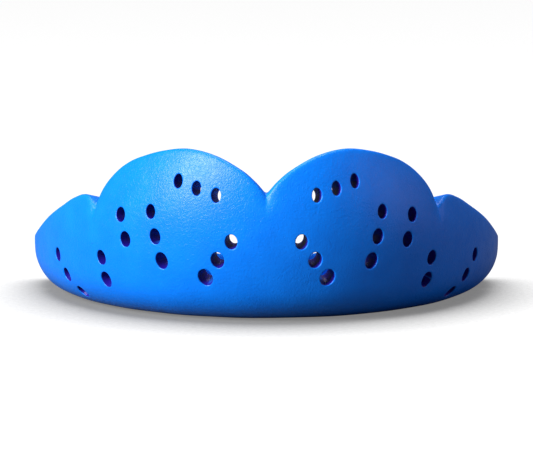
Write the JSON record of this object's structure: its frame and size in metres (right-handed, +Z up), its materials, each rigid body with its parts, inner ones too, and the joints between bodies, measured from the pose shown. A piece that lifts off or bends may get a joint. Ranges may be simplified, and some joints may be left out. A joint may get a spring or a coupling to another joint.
{
  "type": "mouthguard",
  "caption": "Thin one-piece perforated thermoplastic mouthguard: a U-shaped bite plate with a tall outer wall of rounded lobes.",
  "frame": {"origin": "centre of the bounding box's underside, on the plane the bite plate rests on", "axes": "+X across the mouth to the wearer's left, -Y to the front, +Z up from the bite plate to the wall's rim"},
  "size_m": [0.0628, 0.0462, 0.0222],
  "materials": {
    "guard_plastic": "blue thermoplastic with a fine grain and a soft satin shine"
  },
  "bodies": {
    "root": {"mouthguard": "guard_plastic"}
  },
  "joints": []
}
